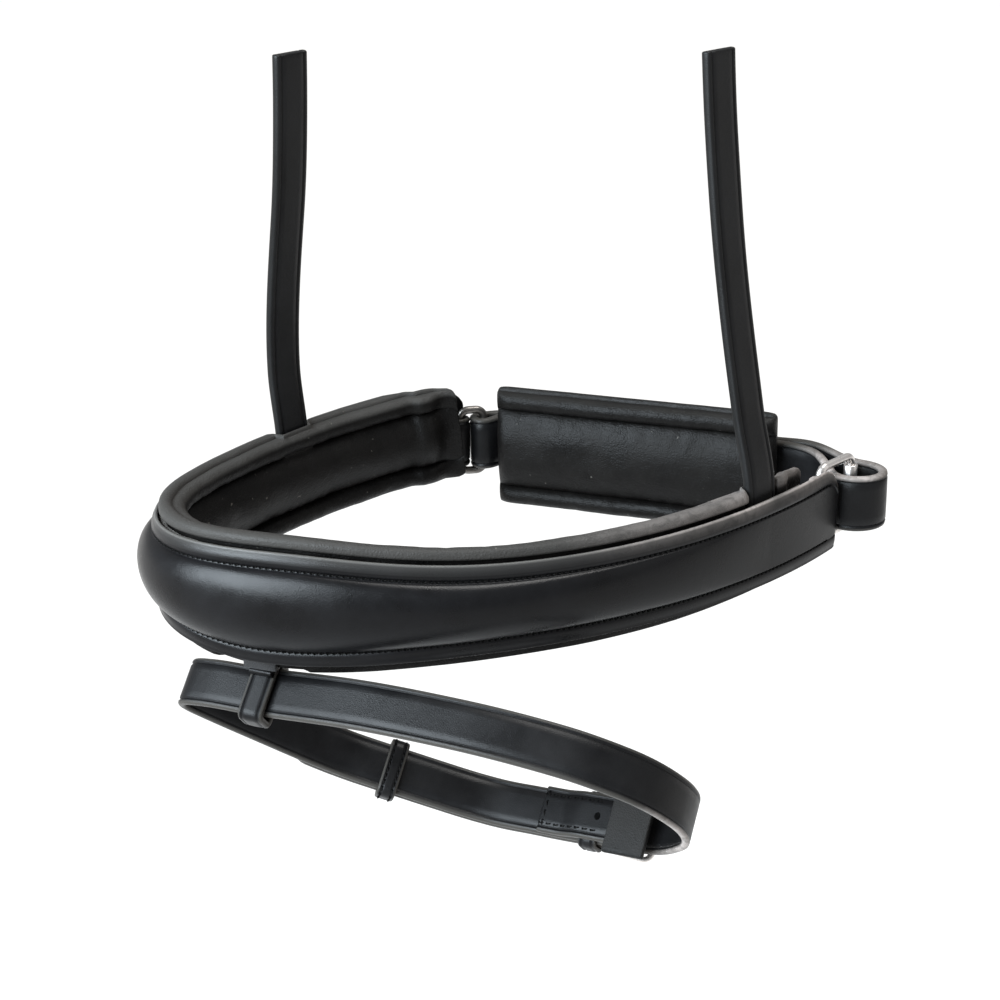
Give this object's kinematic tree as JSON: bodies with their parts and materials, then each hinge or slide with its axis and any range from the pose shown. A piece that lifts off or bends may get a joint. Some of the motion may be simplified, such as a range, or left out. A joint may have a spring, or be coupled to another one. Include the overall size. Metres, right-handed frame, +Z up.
{
  "type": "crank noseband",
  "caption": "Padded noseband with a raised nosepiece, a jaw strap doubled back through a ring to a roller buckle, a jaw cushion, a flash strap and hanger straps.",
  "frame": {"origin": "middle of the opening that the nose fills, on the nosepiece's centre line", "axes": "+Z up along the hanger straps toward the headpiece; -Y toward the front of the nose; +X toward the end of the nosepiece whose ring carries the roller"},
  "size_m": [0.1826, 0.2181, 0.2389],
  "materials": {
    "bridle_leather": "black smooth leather, semi-gloss, with pressed lines beside its edges",
    "soft_leather": "black soft leather, satin, lightly wrinkled over padding",
    "core": "dark felt and fibre board, matt",
    "nickel": "nickel plated wire and rollers, polished"
  },
  "bodies": {
    "noseband": {"nosepiece_leather": "bridle_leather", "nosepiece_filler": "core", "nosepiece_backing": "core", "nosepiece_lining": "soft_leather", "flash_tab": "bridle_leather", "near_hanger": "bridle_leather", "far_hanger": "bridle_leather", "near_ring_chape": "bridle_leather", "far_ring_chape": "bridle_leather", "far_ring": "nickel", "jaw_strap": "bridle_leather", "jaw_buckle_chape": "bridle_leather", "jaw_buckle_frame": "nickel", "jaw_fixed_keeper": "bridle_leather"},
    "near_ring": {"near_ring": "nickel"},
    "near_ring_roller": {"near_ring_roller": "nickel"},
    "jaw_buckle_roller": {"jaw_buckle_roller": "nickel"},
    "jaw_buckle_tongue": {"jaw_buckle_tongue": "nickel"},
    "jaw_runner_keeper": {"jaw_runner_keeper": "bridle_leather"},
    "jaw_cushion": {"jaw_pad": "soft_leather", "jaw_pad_backing": "bridle_leather", "jaw_pad_sleeve_far": "bridle_leather", "jaw_pad_sleeve_near": "bridle_leather"},
    "flash": {"flash_loop": "bridle_leather", "flash_strap": "bridle_leather", "flash_buckle_frame": "nickel", "flash_fixed_keeper": "bridle_leather", "flash_guard": "bridle_leather"},
    "flash_buckle_tongue": {"flash_buckle_tongue": "nickel"},
    "flash_runner_keeper": {"flash_runner_keeper": "bridle_leather"}
  },
  "joints": [
    {"name": "near_ring_swivel", "type": "hinge", "parent": "noseband", "child": "near_ring", "pos_m": [0.06694, 0.08203, -0.0002], "axis": [0, 0, 1], "range_deg": [-6, 6]},
    {"name": "near_ring_roller_spin", "type": "hinge", "parent": "near_ring", "child": "near_ring_roller", "pos_m": [0.06694, 0.09943, -0.0002], "axis": [0, 0, 1], "continuous": true},
    {"name": "jaw_buckle_roller_spin", "type": "hinge", "parent": "noseband", "child": "jaw_buckle_roller", "pos_m": [-0.0014, 0.09688, -0.00261], "axis": [-0.0274, -0.0122, 0.9995], "continuous": true},
    {"name": "jaw_tongue_lift", "type": "hinge", "parent": "noseband", "child": "jaw_buckle_tongue", "pos_m": [-0.01389, 0.08562, -0.00309], "axis": [-0.0274, -0.0122, 0.9995], "range_deg": [0, 8]},
    {"name": "jaw_keeper_slide", "type": "slide", "parent": "noseband", "child": "jaw_runner_keeper", "axis": [0.9131, 0.4066, 0.03], "range_m": [-0.008, 0.004]},
    {"name": "jaw_cushion_slide", "type": "slide", "parent": "noseband", "child": "jaw_cushion", "axis": [0.9131, 0.4066, 0.03], "range_m": [0, 0.004]},
    {"name": "flash_swing", "type": "hinge", "parent": "noseband", "child": "flash", "pos_m": [-0.00566, -0.09175, -0.0226], "axis": [0.9183, 0.3959, 0], "range_deg": [-20, 6]},
    {"name": "flash_tongue_lift", "type": "hinge", "parent": "flash", "child": "flash_buckle_tongue", "pos_m": [0.06653, -0.012, -0.07922], "axis": [-0.2942, 0.6824, 0.6691], "range_deg": [0, 8]},
    {"name": "flash_keeper_slide", "type": "slide", "parent": "flash", "child": "flash_runner_keeper", "axis": [-0.7167, -0.6207, 0.3179], "range_m": [-0.004, 0.004]}
  ]
}
